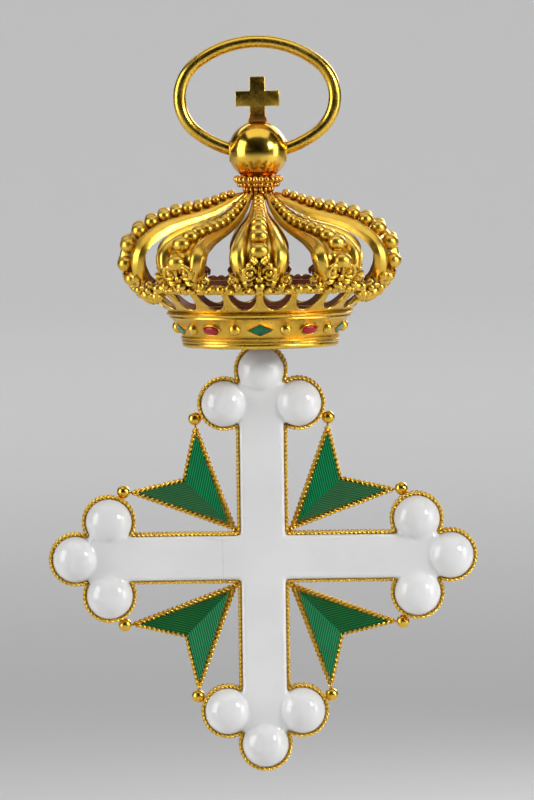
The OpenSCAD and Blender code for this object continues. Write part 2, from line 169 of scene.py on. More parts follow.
# The skin as a finely divided run: running length, row of the table, then the table's columns
SKIN_FINE = 12


def measure_skin(share):
    run = []
    length = 0.0
    last = None
    for k in range((len(ARCH) - 1) * SKIN_FINE + 1):
        t = k / SKIN_FINE
        r, drop, half_w, pearl_d, lower = catmull(ARCH, t)
        drop += share * lower
        if last:
            length += hypot(r - last[0], drop - last[1])
        run.append((length, r, drop, half_w, pearl_d, lower))
        last = (r, drop)
    return run


SIDE_SKIN = measure_skin(0.0)
FOOT_RUN = SIDE_SKIN[-1][0]


def skin_row(s, skin=SIDE_SKIN):
    """Radius, drop, half width, pearl diameter and lowering at a running length from the neck."""
    s = clamp(s, 0, skin[-1][0])
    for a, b in zip(skin, skin[1:]):
        if s <= b[0]:
            f = (s - a[0]) / max(b[0] - a[0], 1e-9)
            return tuple(p + f * (q - p) for p, q in zip(a[1:], b[1:]))
    return skin[-1][1:]


def run_at_row(row, skin=SIDE_SKIN):
    return skin[round(row * SKIN_FINE)][0]


def on_skin(s, lift=0.0, across=0.0, turn=0.0, skin=SIDE_SKIN):
    """Place on the skin in front: local X goes right, Y up along the skin and Z out of it."""
    step = 0.2
    r, drop = skin_row(s, skin)[:2]
    r0, drop0 = skin_row(s - step, skin)[:2]
    r1, drop1 = skin_row(s + step, skin)[:2]
    way = Vector((0, -(r0 - r1), drop1 - drop0)).normalized()
    right = Vector((1, 0, 0))
    out = right.cross(way)
    axes = Matrix((right, way, out)).transposed().to_4x4()
    place = Matrix.Translation(Vector((0, -r, -drop)) + lift * out) @ axes
    return turned(across / r) @ place @ turned(turn)


def keep(bm, name="shape"):
    """Ends a bmesh and gives it back as a mesh."""
    mesh = bpy.data.meshes.new(name)
    bm.to_mesh(mesh)
    bm.free()
    return mesh


def show(name, data):
    """Puts a mesh, a curve, a light or the camera into the scene."""
    ob = bpy.data.objects.new(name, data)
    scene.collection.objects.link(ob)
    return ob


def sized(x, y, z):
    return Matrix.Diagonal((x, y, z, 1))


def turned(angle, axis="Z"):
    return Matrix.Rotation(angle, 4, axis)


def verts_of(geom):
    return [g for g in geom if isinstance(g, bmesh.types.BMVert)]


def open_edges(bm):
    return [e for e in bm.edges if e.is_boundary]


def angles(count):
    """Evenly spaced angles right round a circle."""
    return [2 * pi * k / count for k in range(count)]


def face_outwards(bm):
    ops.recalc_face_normals(bm, faces=bm.faces)


def proto(build, *args):
    """A shape kept as a mesh, to be stamped many times."""
    bm = bmesh.new()
    build(bm, *args)
    face_outwards(bm)
    return keep(bm)


def stamp(bm, mesh, place):
    """Adds a copy of a kept shape to a bmesh at a place."""
    copy = mesh.copy()
    copy.transform(place)
    if place.determinant() < 0:
        copy.flip_normals()
    bm.from_mesh(copy)
    bpy.data.meshes.remove(copy)


def piece(name, bm, materials, body, replaces=(), sharp=radians(42)):
    """Makes a bmesh in millimetres into a shown piece of the badge, in metres."""
    for e in bm.edges:
        e.smooth = not (e.is_manifold and e.calc_face_angle(0.0) > sharp)
    for f in bm.faces:
        f.smooth = True
    ops.scale(bm, vec=(MM, MM, MM), verts=bm.verts)
    mesh = keep(bm, name)
    for material in materials:
        mesh.materials.append(material)
    ob = show(name, mesh)
    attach(ob, body)
    if replaces:
        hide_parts(*replaces)
    return ob


def turn_over(bm):
    """Turns the faces over where they all look inwards."""
    if bm.calc_volume(signed=True) < 0:
        ops.reverse_faces(bm, faces=bm.faces)


def outward_share(f):
    """How far a face looks away from the crown's axis, from -1 to 1."""
    c = f.calc_center_median()
    return (f.normal.x * c.x + f.normal.y * c.y) / max(c.xy.length, 0.01)


def spin(bm, geom, cent, axis, angle, steps, closed):
    ops.spin(bm, geom=geom, cent=cent, axis=axis, dvec=(0, 0, 0), angle=angle, steps=steps,
             use_merge=closed, use_normal_flip=False, use_duplicate=False)


def revolve(bm, profile, axis="Z", centre=(0, 0, 0), steps=96, closed=True):
    """Turns a profile of (radius, height) points right round an axis."""
    def point(r, h):
        return Vector((r, 0, h)) if axis == "Z" else Vector((h, 0, r))
    verts = [bm.verts.new(Vector(centre) + point(r, h)) for r, h in profile]
    pairs = list(zip(verts, verts[1:])) + ([(verts[-1], verts[0])] if closed else [])
    edges = [bm.edges.new(p) for p in pairs]
    spin(bm, verts + edges, centre, (0, 0, 1) if axis == "Z" else (1, 0, 0), 2 * pi, steps, True)


def slab(bm, outline, y0, y1):
    """An outline of (x, z) points as a plate between two depths."""
    face = bm.faces.new([bm.verts.new((x, y0, z)) for x, z in outline])
    moved = ops.extrude_face_region(bm, geom=[face])["geom"]
    ops.translate(bm, vec=(0, y1 - y0, 0), verts=verts_of(moved))


def bevel(bm, width, segments, edges):
    ops.bevel(bm, geom=edges, offset=width, offset_type="OFFSET", segments=segments, profile=0.5,
              affect="EDGES", clamp_overlap=True, material=-1)


def evaluated(ob):
    """The mesh that an object's curve or modifiers give."""
    bpy.context.view_layer.update()
    return bpy.data.meshes.new_from_object(ob.evaluated_get(bpy.context.evaluated_depsgraph_get()))


def tube_mesh(path, section, twists=None, closed=True):
    """A section swept along a path in the XY plane, as a mesh; twists turns it point by point."""
    shape = bpy.data.curves.new("section", "CURVE")
    shape.dimensions = "2D"
    ring = shape.splines.new("POLY")
    ring.points.add(len(section) - 1)
    for p, q in zip(ring.points, section):
        p.co = (q[0], q[1], 0, 1)
    ring.use_cyclic_u = True
    section_ob = show("section", shape)
    curve = bpy.data.curves.new("path", "CURVE")
    curve.dimensions = "3D"
    curve.twist_mode = "Z_UP"
    curve.bevel_mode = "OBJECT"
    curve.bevel_object = section_ob
    line = curve.splines.new("POLY")
    line.points.add(len(path) - 1)
    for k, (p, q) in enumerate(zip(line.points, path)):
        p.co = (q[0], q[1], q[2] if len(q) > 2 else 0, 1)
        p.tilt = twists[k] if twists else 0
    line.use_cyclic_u = closed
    path_ob = show("path", curve)
    mesh = evaluated(path_ob)
    for ob, data in ((path_ob, curve), (section_ob, shape)):
        bpy.data.objects.remove(ob)
        bpy.data.curves.remove(data)
    return mesh


def resample(path, step):
    """A closed path of (x, z) points divided evenly, about a step apart."""
    ends = path[1:] + path[:1]
    lengths = [dist(a, b) for a, b in zip(path, ends)]
    total = sum(lengths)
    count = max(8, round(total / step))
    points = []
    k = 0
    passed = 0.0
    for i in range(count):
        want = total * i / count
        while passed + lengths[k] < want:
            passed += lengths[k]
            k += 1
        f = (want - passed) / lengths[k]
        points.append(tuple(p + f * (q - p) for p, q in zip(path[k], ends[k])))
    return points, total


# Two strands twisted round each other, seen in section
ROPE_WAIST = 0.5
ROPE_SECTION = [
    (ROPE_R * max(abs(cos(a)), ROPE_WAIST) * cos(a),
     ROPE_R * max(abs(cos(a)), ROPE_WAIST) * sin(a))
    for a in angles(12)
]
ROPE_RINGS = 14
# A curve takes no more twist than this many half turns, so a longer wire is made in parts
ROPE_MOST_HALVES = 110


def add_rope(bm, path, y, lay, thick=1.0):
    """A twisted wire along a closed path of (x, z) points; lay is the length of a full turn."""
    section = [(thick * a, thick * b) for a, b in ROPE_SECTION]
    points, total = resample(path, lay / ROPE_RINGS)
    halves = round(2 * total / lay)
    count = len(points)
    parts = ceil(halves / ROPE_MOST_HALVES)
    place = Matrix.Translation((0, y, 0)) @ turned(pi / 2, "X")
    for part in range(parts):
        first, last = (count * k // parts for k in (part, part + 1))
        whole = round(halves * first / count)
        run = range(first, last + (parts > 1))
        twists = [pi * (halves * k / count - whole) for k in run]
        stamp(bm, tube_mesh([points[k % count] for k in run], section, twists, parts == 1), place)


# Materials

class Net:
    """The nodes of a material or of the world, with short ways to add to them."""

    def __init__(self, owner):
        owner.use_nodes = True
        self.owner = owner
        self.tree = owner.node_tree

    def fill(self, node, inputs):
        """Gives each named input of a node a link, a number or a colour."""
        for key, value in inputs.items():
            if isinstance(value, bpy.types.NodeSocket):
                self.tree.links.new(value, node.inputs[key])
            else:
                node.inputs[key].default_value = (*value, 1) if isinstance(value, tuple) else value

    def add(self, kind, inputs, output=0, **settings):
        """Adds a node with its settings and inputs, and gives back one of its outputs."""
        node = self.tree.nodes.new("ShaderNode" + kind)
        for key, value in settings.items():
            setattr(node, key, value)
        self.fill(node, inputs)
        return node.outputs[output]

    def point(self):
        return self.add("TexCoord", {}, "Object")

    def split(self, point):
        return [self.add("SeparateXYZ", {"Vector": point}, axis) for axis in "XYZ"]

    def noise(self, point, scale, detail, rough):
        inputs = {"Vector": point, "Scale": scale, "Detail": detail, "Roughness": rough}
        return self.add("TexNoise", inputs, "Fac")

    def cells(self, point, scale):
        return self.add("TexVoronoi", {"Vector": point, "Scale": scale}, "Distance")

    def maths(self, operation, *values):
        return self.add("Math", dict(enumerate(values)), "Value", operation=operation)

    def span(self, value, low, high, to_low, to_high):
        """A value moved from one range to another, and kept in it."""
        inputs = {"Value": value, "From Min": low, "From Max": high, "To Min": to_low, "To Max": to_high}
        return self.add("MapRange", inputs, "Result")

    def mix(self, share, a, b):
        return self.add("Mix", {"Factor": share, "A": a, "B": b}, "Result", data_type="RGBA")

    def bump(self, height, strength, distance):
        return self.add("Bump", {"Height": height, "Strength": strength, "Distance": distance}, "Normal")

    def ramp(self, value, first, second):
        """A blend of two colours, each given with its position."""
        node = self.add("ValToRGB", {"Fac": value}).node
        for element, (position, colour) in zip(node.color_ramp.elements, (first, second)):
            element.position, element.color = position, (*colour, 1)
        return node.outputs["Color"]

    def shade(self, inputs):
        """Sets the shader of a material, and gives back the material."""
        self.fill(self.tree.nodes["Principled BSDF"], inputs)
        return self.owner


def new_net(name):
    return Net(bpy.data.materials.new(name))


GOLD_PALE = (0.79, 0.528, 0.09)
GOLD = (0.70, 0.414, 0.04)
# Deep brown for painted shade: in the gold's hollows and in the band's punched pits
GOLD_PAINTED_SHADE = (0.36, 0.18, 0.012)
HEAT_RED = (0.74, 0.25, 0.06)
# Dark browns of the painted shade on faces inside the crown
INSIDE_SHADE_DARK = (0.16, 0.045, 0.02)
INSIDE_SHADE_BROWN = (0.30, 0.09, 0.035)


def gold(name, gloss, relief, grain, hollow_shade=0.0, tint=None):
    """Gold with cloudy colour, painted shade in its hollows, fine wear in its gloss and a grain; tint gives
    a share of heat colour.
    """
    net = new_net(name)
    point = net.point()
    colour = net.ramp(net.noise(point, 260, 4.0, 0.6), (0.3, GOLD), (0.7, GOLD_PALE))
    # Painted shade: the colour darkens towards deep brown where the surroundings close in, up to the given
    # share
    if hollow_shade:
        openness = net.add("AmbientOcclusion", {"Distance": 0.9 * MM}, "AO", samples=6)
        colour = net.mix(net.span(openness, 0.25, 0.85, hollow_shade, 0.0), colour, GOLD_PAINTED_SHADE)
    if tint:
        colour = net.mix(tint(net, point), colour, HEAT_RED)
    return net.shade({
        "Base Color": colour,
        "Metallic": 1.0,
        "Roughness": net.span(net.noise(point, 900, 3.0, 0.65), 0.3, 0.75, *gloss),
        "Normal": net.bump(net.noise(point, grain, 2.0, 0.6), relief, 0.06 * MM),
    })


def orb_heat(net, point):
    """Share of heat colour on the orb: radial streaks that rise from the collar."""
    x, y, z = net.split(point)
    around = net.add("CombineXYZ", {"X": net.maths("ARCTAN2", y, x)})
    streak = net.noise(around, 14, 3.0, 0.7)
    reach = net.maths("MULTIPLY_ADD", streak, 3.4 * MM, (ORB_LO.z - 0.6) * MM)
    return net.span(net.maths("SUBTRACT", z, reach), 0.0, 1.2 * MM, 0.6, 0.0)


def neck_heat(net, point):
    """Share of heat colour on the neck, in patches."""
    return net.span(net.noise(point, 700, 3.0, 0.6), 0.42, 0.66, 0.0, 0.9)


def crown_heat(net, point):
    """Share of heat colour on the crown: patches that fade away from the neck."""
    near = net.span(net.split(point)[2], -25 * MM, -21.5 * MM, 0.06, 0.7)
    patches = net.span(net.noise(point, 420, 3.0, 0.6), 0.45, 0.7, 0.0, 1.0)
    return net.maths("MULTIPLY", near, patches)


def foot_heat(net, point):
    """Share of heat colour where the small cross is soldered to the orb."""
    return net.span(net.split(point)[2], SMALL_LO.z * MM, (SMALL_LO.z + 2.2) * MM, 0.75, 0.0)


def matted_gold():
    """The band's ground, stippled all over with a fine punch, with painted shade in the pits."""
    net = new_net("matted_gold")
    point = net.point()
    colour = net.ramp(net.noise(point, 300, 4.0, 0.6), (0.3, GOLD), (0.7, GOLD_PALE))
    pits = net.cells(point, 4200)
    return net.shade({
        # Painted shade: the colour darkens towards deep brown in the punched pits
        "Base Color": net.mix(net.span(pits, 0.0, 0.35, 0.6, 0.0), colour, GOLD_PAINTED_SHADE),
        "Metallic": 1.0,
        "Roughness": 0.42,
        "Normal": net.bump(pits, 0.55, 0.08 * MM),
    })


def inner_painted_shade():
    """Inside of the crown, unpolished, in painted shade: dark brown for the faces that look inwards."""
    net = new_net("inner_painted_shade")
    clouds = net.noise(net.point(), 500, 5.0, 0.65)
    return net.shade({
        "Base Color": net.ramp(clouds, (0.3, INSIDE_SHADE_DARK), (0.75, INSIDE_SHADE_BROWN)),
        "Metallic": 0.55,
        "Roughness": 0.5,
        "Normal": net.bump(clouds, 0.4, 0.08 * MM),
    })


# The hairline crack in the level arm: its place, how far it wanders and its width
CRACK_X = -5.5
CRACK_WANDER = 1.2
CRACK_W = 0.08


def enamel_marks(net, point):
    """Share of dark marks on the white enamel: fine specks, and the crack across the level arm."""
    specks = net.span(net.cells(point, 190), 0.0, 0.035, 0.5, 0.0)
    x, y, z = net.split(point)
    wander = net.maths("MULTIPLY_ADD", net.noise(point, 500, 4.0, 0.6), CRACK_WANDER * MM, x)
    off = net.maths("ABSOLUTE", net.maths("ADD", wander, -CRACK_X * MM))
    up = net.maths("ABSOLUTE", net.maths("SUBTRACT", z, CROSS_Z * MM))
    on_arm = net.maths("LESS_THAN", up, ARM_HALF * MM)
    crack = net.maths("MULTIPLY", on_arm, net.span(off, 0.0, CRACK_W * MM, 0.3, 0.0))
    return net.maths("MAXIMUM", specks, crack)


def white_enamel():
    """Opaque white enamel with a deep gloss, faint clouds and a few marks."""
    net = new_net("white_enamel")
    point = net.point()
    clouds = net.noise(point, 90, 3.0, 0.5)
    base = net.ramp(clouds, (0.3, (0.71, 0.711, 0.713)), (0.7, (0.77, 0.771, 0.773)))
    return net.shade({
        "Base Color": net.mix(enamel_marks(net, point), base, (0.27, 0.21, 0.14)),
        "Roughness": 0.3,
        "Specular IOR Level": 0.15,
        "Coat Weight": 0.9,
        "Coat Roughness": 0.05,
        "Normal": net.bump(net.noise(point, 160, 2.0, 0.4), 0.08, 0.1 * MM),
    })


# Engraved lines under the green run along each ray's outer edges, this far apart
LINE_PITCH = 0.34


def ray_green():
    """Green enamel over engraved lines that follow the two outer edges of a ray, with painted light and
    shade on its two facets.
    """
    net = new_net("ray_green")
    point = net.point()
    x, y, z = net.split(point)
    across = net.maths("ABSOLUTE", x)
    up = net.maths("ABSOLUTE", net.maths("SUBTRACT", z, CROSS_Z * MM))
    near = net.maths("MINIMUM", across, up)
    far = net.maths("MAXIMUM", across, up)
    edge = Vector((RAY_NOTCH - RAY_TIP[0], RAY_NOTCH - RAY_TIP[1])).normalized()
    offset = net.maths("MULTIPLY_ADD", near, -edge.y / MM, net.maths("MULTIPLY", far, edge.x / MM))
    wave = net.maths("SINE", net.maths("MULTIPLY", offset, 2 * pi / LINE_PITCH))
    lines = net.span(wave, -1, 1, 0, 1)
    # Painted light and shade: the facet beside the level arm is darker, the one beside the upright arm
    # lighter, as the light falls on them
    shaded_level_facet = net.mix(lines, (0.002, 0.04, 0.008), (0.016, 0.19, 0.045))
    lit_upright_facet = net.mix(lines, (0.0, 0.035, 0.008), (0.002, 0.36, 0.115))
    facets = net.mix(net.maths("GREATER_THAN", up, across), shaded_level_facet, lit_upright_facet)
    clouds = net.span(net.noise(point, 350, 4.0, 0.6), 0.3, 0.7, 0.0, 0.25)
    return net.shade({
        "Base Color": net.mix(clouds, facets, (0.0, 0.05, 0.015)),
        "Metallic": 0.2,
        "Roughness": 0.4,
        "Specular IOR Level": 0.25,
        "Coat Weight": 0.4,
        "Coat Roughness": 0.08,
        "Normal": net.bump(lines, 0.5, 0.05 * MM),
    })


def stone(name, dark, light):
    """A clouded stone under a thin gloss."""
    net = new_net(name)
    clouds = net.noise(net.point(), 800, 4.0, 0.7)
    return net.shade({
        "Base Color": net.ramp(clouds, (0.3, dark), (0.7, light)),
        "Roughness": 0.3,
        "Specular IOR Level": 0.2,
        "Coat Weight": 0.35,
        "Coat Roughness": 0.04,
        "Normal": net.bump(clouds, 0.15, 0.05 * MM),
    })


# The fifth number given to gold() is the share of painted shade in its hollows
RING_GOLD = gold("ring_gold", (0.2, 0.34), 0.05, 2600)
ORB_GOLD = gold("orb_gold", (0.14, 0.24), 0.03, 1500, tint=orb_heat)
SMALL_CROSS_GOLD = gold("small_cross_gold", (0.2, 0.34), 0.06, 3000, tint=foot_heat)
NECK_GOLD = gold("neck_gold", (0.22, 0.36), 0.1, 3000, 0.7, neck_heat)
ARCH_GOLD = gold("arch_gold", (0.29, 0.42), 0.08, 3200, 0.7, crown_heat)
LEAF_GOLD = gold("leaf_gold", (0.25, 0.38), 0.1, 3200, 0.8)
BAND_GOLD = gold("band_gold", (0.25, 0.38), 0.08, 3000, 0.5)
ROPE_GOLD = gold("rope_gold", (0.3, 0.44), 0.08, 3500, 0.7)
BODY_GOLD = gold("body_gold", (0.2, 0.36), 0.1, 3000)
MATTED_GOLD = matted_gold()
# Painted shade: the dark brown material for faces that look inwards
INNER_PAINTED_SHADE = inner_painted_shade()
WHITE_ENAMEL = white_enamel()
RAY_GREEN = ray_green()
LOZENGE_GREEN = stone("lozenge_green", (0.0, 0.05, 0.025), (0.006, 0.19, 0.075))
OVAL_RED = stone("oval_red", (0.16, 0.0, 0.002), (0.50, 0.006, 0.01))


# Suspension ring, small cross, orb and neck

def make_ring():
    """Oval of round wire: a tight arc round each end and a long flat arc between them."""
    wire_r = (RING_HI.y - RING_LO.y) / 2
    a = (RING_HI.x - RING_LO.x) / 2 - wire_r
    b = (RING_HI.z - RING_LO.z) / 2 - wire_r
    middle = (RING_LO + RING_HI) / 2
    end_at = a - RING_END_R
    side_r = (end_at**2 + b**2 - RING_END_R**2) / (2 * (b - RING_END_R))
    half = atan2(side_r - b, end_at)
    arcs = []
    for side in (0, pi):
        arcs.append((Vector((end_at, 0, 0)), RING_END_R, -half, half, side))
        arcs.append((Vector((0, 0, b - side_r)), side_r, half, pi - half, side))
    bm = bmesh.new()
    for centre, radius, start, stop, side in arcs:
        whole = turned(-side, "Y")
        at_start = turned(-start, "Y") @ Matrix.Translation((radius, 0, 0))
        place = Matrix.Translation(middle) @ whole @ Matrix.Translation(centre) @ at_start
        circle = ops.create_circle(bm, segments=28, radius=wire_r, matrix=place)["verts"]
        edges = list({e for v in circle for e in v.link_edges})
        steps = max(16, round(radius * (stop - start) / RING_STEP))
        cent = Matrix.Translation(middle) @ whole @ centre
        spin(bm, circle + edges, cent, (0, -1, 0), stop - start, steps, False)
    ops.remove_doubles(bm, verts=bm.verts, dist=0.01)
    face_outwards(bm)
    return piece("ring_wire", bm, [RING_GOLD], "ring", ["suspension_ring"])


def make_orb():
    """Polished ball, turned about its sideways bore, with a rolled lip round each mouth."""
    r = (ORB_HI.y - ORB_LO.y) / 2 - ORB_INSET
    lip = MOUTH_ROLL_R
    start = asin((BORE_R + 2 * lip) / r)
    mouth_x = r * cos(start)
    ball = [(r * sin(a), r * cos(a)) for a in (start + (pi - 2 * start) * k / 72 for k in range(73))]
    roll = [(BORE_R + lip + lip * cos(a), mouth_x + lip * sin(a)) for a in
            (pi * k / 8 for k in range(1, 9))]
    profile = roll[::-1] + ball + [(q, -h) for q, h in roll]
    bm = bmesh.new()
    revolve(bm, profile, "X", (0, 0, BORE_Z), steps=112)
    ops.remove_doubles(bm, verts=bm.verts, dist=0.001)
    face_outwards(bm)
    return piece("orb_ball", bm, [ORB_GOLD], "crown", ["orb"])


def make_small_cross():
    """Flat cross with a flared foot and thin bright edges."""
    limb = SMALL_CROSS_LIMB
    arm = (SMALL_HI.x - SMALL_LO.x) / 2
    half_t = (SMALL_HI.y - SMALL_LO.y) / 2
    top = SMALL_HI.z
    arm_z = top - arm
    foot_z = SMALL_LO.z - 0.15
    half = [
        (limb, top), (limb, arm_z + limb), (arm, arm_z + limb), (arm, arm_z - limb),
        (limb, arm_z - limb), (limb, foot_z + limb), (1.3 * limb, foot_z),
    ]
    bm = bmesh.new()
    slab(bm, half + [(-x, z) for x, z in reversed(half)], -half_t, half_t)
    face_outwards(bm)
    bevel(bm, SMALL_CROSS_EDGE, 3, bm.edges[:])
    return piece("small_cross_plate", bm, [SMALL_CROSS_GOLD], "crown", ["small_cross"],
                 sharp=radians(60))


def build_ball(bm, u, v):
    ops.create_uvsphere(bm, u_segments=u, v_segments=v, radius=1)


PEARL = proto(build_ball, 18, 12)
BEAD = proto(build_ball, 12, 8)


def ball_at(bm, mesh, centre, size):
    stamp(bm, mesh, Matrix.Translation(centre) @ sized(*size))


# columns: how many, radius, drop under the neck's top, half width, half height
NECK_ROWS = [
    (24, 3.3, 0.2, 0.46, 0.54),
    (22, 2.85, 1.0, 0.4, 0.4),
    (18, 2.08, 1.7, 0.31, 0.52),
    (18, 2.2, 2.55, 0.34, 0.5),
]


def make_neck():
    """Turned core with two rows of beads at the collar and two rows of upright ribs below."""
    top = NECK_HI.z
    foot = NECK_LO.z
    bm = bmesh.new()
    core = [
        (0.01, top + 0.35), (2.0, top + 0.3), (3.0, top - 0.05), (3.1, top - 0.5), (2.9, top - 1.0),
        (2.0, top - 1.35), (1.95, foot + 0.9), (2.6, foot), (0.01, foot),
    ]
    revolve(bm, core, steps=64, closed=False)
    for count, radius, z, across, up in NECK_ROWS:
        for k in range(count):
            place = turned(2 * pi * (k + 0.5) / count) @ Matrix.Translation((0, -radius, top - z))
            stamp(bm, BEAD, place @ sized(across, across, up))
    ops.remove_doubles(bm, verts=bm.verts, dist=0.0005)
    face_outwards(bm)
    return piece("neck_collar", bm, [NECK_GOLD], "crown", ["neck"])


# Arches

ARCH_ACROSS = 44
ARCH_ALONG = 76


def arch_relief(u):
    """Height over the skin at a share u of the half width: ridge, channel, roll and turned edge."""
    u = abs(u)
    ridge = 0.3 * (1 - smooth_step(0.2, 0.36, u))
    roll = 0.78 * sin(pi * clamp((u - 0.42) / 0.51) ** 0.85)
    lip = 0.16 * exp(-((u - 0.955) / 0.03) ** 2)
    return ridge + roll + lip - 0.16 - 0.45 * smooth_step(0.965, 1.0, u)


def arch_outside(u, w):
    return arch_relief(u) * min(1, w / FULL_RELIEF_W)


def arch_inside(u, w):
    return arch_outside(1, w) - ARCH_T * max(0.55, min(1, w / FULL_RELIEF_W)) * (0.45 + 0.25 * (1 - u * u))


def arch_sheet(bm, height, skin, kind):
    """A strip along the arch, each point lifted off the skin by height(u, w)."""
    verts = ops.create_grid(bm, x_segments=ARCH_ACROSS, y_segments=ARCH_ALONG, size=1)["verts"]
    length = run_at_row(ARCH_LAST_ROW, skin)
    lean, higher_share, widening = kind[1:4]
    for v in verts:
        u = v.co.x
        s = length * (1 - v.co.y) / 2
        r, _, w, _, lower = skin_row(s, skin)
        w += widening * lower
        rise = lean * LEAN_RATE * lower / r * u * w
        v.co = on_skin(s, skin=skin) @ Vector((u * w, 0, height(u, w)))
        v.co.z += rise * (higher_share if rise > 0 else 1)
    return verts


def sheet_edges(verts):
    return list({e for v in verts for e in v.link_edges if e.is_boundary})


def build_arch(bm, kind):
    skin = measure_skin(kind[0])
    outer = arch_sheet(bm, arch_outside, skin, kind)
    inner = arch_sheet(bm, arch_inside, skin, kind)
    # Painted shade: the arch's inner side takes the dark brown material
    for f in {f for v in inner for f in v.link_faces}:
        f.material_index = 1
    ops.bridge_loops(bm, edges=sheet_edges(outer) + sheet_edges(inner))
    face_outwards(bm)
    s = run_at_row(kind[4], skin)
    while s > PEARL_FIRST:
        d = skin_row(s, skin)[3]
        place = on_skin(s, PEARL_LIFT * d, skin=skin)
        stamp(bm, PEARL, place @ sized(PEARL_ACROSS * d, PEARL_ALONG * d, PEARL_ALONG * d))
        s -= PEARL_PITCH * skin_row(s - d / 2, skin)[3]


def make_arches():
    for i in range(ARCHES):
        bm = bmesh.new()
        build_arch(bm, ARCH_KINDS[i % len(ARCH_KINDS)])
        ops.rotate(bm, cent=(0, 0, 0), matrix=Matrix.Rotation(i * ARCH_STEP, 3, "Z"), verts=bm.verts)
        piece(f"arch_metal_{i + 1}", bm, [ARCH_GOLD, INNER_PAINTED_SHADE], "crown", [f"arch_{i + 1}"])


# Wreath

def build_leaf(bm, lobes, ruffle, point):
    """A plump leaf one unit long and wide, with lobed edges, a middle groove and a drawn-out tip."""
    verts = ops.create_uvsphere(bm, u_segments=20, v_segments=8, radius=0.5)["verts"]
    for v in verts:
        x, y, z = v.co
        lobe = 1 + ruffle * cos(lobes * atan2(x, y))
        groove = 0.3 * exp(-((x / 0.12) ** 2)) if z > 0 else 0.0
        v.co = (x * lobe * (1 - point * (y + 0.5)), y * lobe, z * (1 - groove))


CURL_START = radians(-110)
CURL_TURN = radians(330)


def build_curl(bm):
    """A leaf rolled into a ring with a ruffled rim, one unit in radius, thinner at both ends."""
    verts = ops.create_grid(bm, x_segments=28, y_segments=10, size=1)["verts"]
    for v in verts:
        t = (v.co.x + 1) / 2
        round_it = pi * (v.co.y + 1)
        tube = 0.31 * sin(pi * (0.12 + 0.78 * t)) ** 0.6
        tube *= 1 + 0.16 * cos(2 * pi * 5.5 * t) * max(0, cos(round_it))
        reach = 0.69 + tube * cos(round_it)
        angle = CURL_START + CURL_TURN * t
        v.co = Vector((reach * cos(angle), reach * sin(angle), 1.3 * tube * sin(round_it)))
    ops.remove_doubles(bm, verts=bm.verts, dist=0.004)
    ops.holes_fill(bm, edges=open_edges(bm), sides=0)


# One fleuron, right half: the rows with a place of 0 across stand on its centre line
# columns: shape, place across, height over the foot, turn in degrees, width, length, relief, lift
FLEURON = [
    ("lobed", 0.75, 7.4, 35, 1.4, 1.7, 1.6, 0.95),
    ("lobed", 1.35, 6.75, 80, 1.1, 1.3, 1.4, 0.85),
    ("pointed", 0.0, 6.2, 0, 0.9, 2.2, 1.4, 1.15),
    ("lobed", 0.0, 4.9, 0, 1.3, 1.3, 1.3, 0.95),
    ("curl", 1.4, 5.7, 40, 1.42, 1.3, 1.25, 0.9),
    ("pearl", 1.4, 5.65, 0, 0.72, 0.66, 0.62, 0.8),
    ("pointed", 2.75, 5.9, 20, 0.95, 1.4, 1.3, 0.75),
    ("pointed", 3.75, 5.05, 55, 1.0, 1.8, 1.4, 0.7),
    ("pearl", 0.0, 3.8, 0, 0.86, 0.7, 0.8, 1.1),
    ("lobed", 1.6, 4.2, 92, 1.2, 1.9, 1.3, 0.8),
    ("pearl", 3.2, 3.7, 0, 0.62, 0.62, 0.62, 0.95),
    ("curl", 3.9, 4.3, -60, 0.98, 0.98, 1.0, 0.6),
    ("pearl", 3.9, 4.3, 0, 0.48, 0.48, 0.45, 0.55),
    ("lobed", 3.0, 2.7, 112, 1.4, 1.8, 1.4, 0.7),
    ("curl", 1.9, 2.7, 150, 0.98, 0.9, 1.0, 0.75),
    ("pearl", 1.9, 2.7, 0, 0.46, 0.44, 0.42, 0.7),
    ("lobed", 0.0, 2.55, 180, 1.5, 1.5, 1.4, 0.95),
    ("lobed", 1.25, 2.7, 150, 1.4, 1.6, 1.4, 0.95),
    ("lobed", 2.6, 2.45, 175, 1.4, 1.3, 1.3, 0.9),
    ("lobed", 4.5, 2.9, 80, 1.3, 1.6, 1.3, 0.75),
    ("lobed", 3.9, 2.4, 140, 1.2, 1.2, 1.3, 0.85),
    ("lobed", 5.2, 2.35, 180, 1.2, 1.1, 1.2, 0.75),
]
# Rows higher than this are the fleuron's top: on the arches next to the front and back ones it stands
# lower, and the arches at the sides have pearls in its place
TOP_FROM = 6.3
TOP_DROP = 0.6
# Rows higher than this stand lower on the arches at the sides
SIDE_FROM = 1
SIDE_DROP = 1.2
# Leaves that hang under the hoop at the sides, with the same columns
HANGING = [
    ("lobed", 0.0, 0.5, 180, 1.6, 2.3, 1.7, 0.55),
    ("lobed", 1.5, 0.5, 165, 1.5, 2.2, 1.6, 0.5),
    ("lobed", 3.0, 0.6, 150, 1.4, 1.9, 1.5, 0.45),
]
SPRIG_PEARL_R = 0.72
SPRIG_PEARL_UP = 2.8
SPRIG_PEARL_LIFT = 0.5
# How far all leaves are let into the metal below them
LEAF_SINK = 0.3
# Faces that look inwards by more than this share are given painted shade, dark brown
LEAF_SHADE_FROM = -0.15
HOOP_FOOT = [(17.6, -35.6), (17.4, -36.1), (17.1, -36.35), (16.6, -36.2), (17.1, -35.5)]


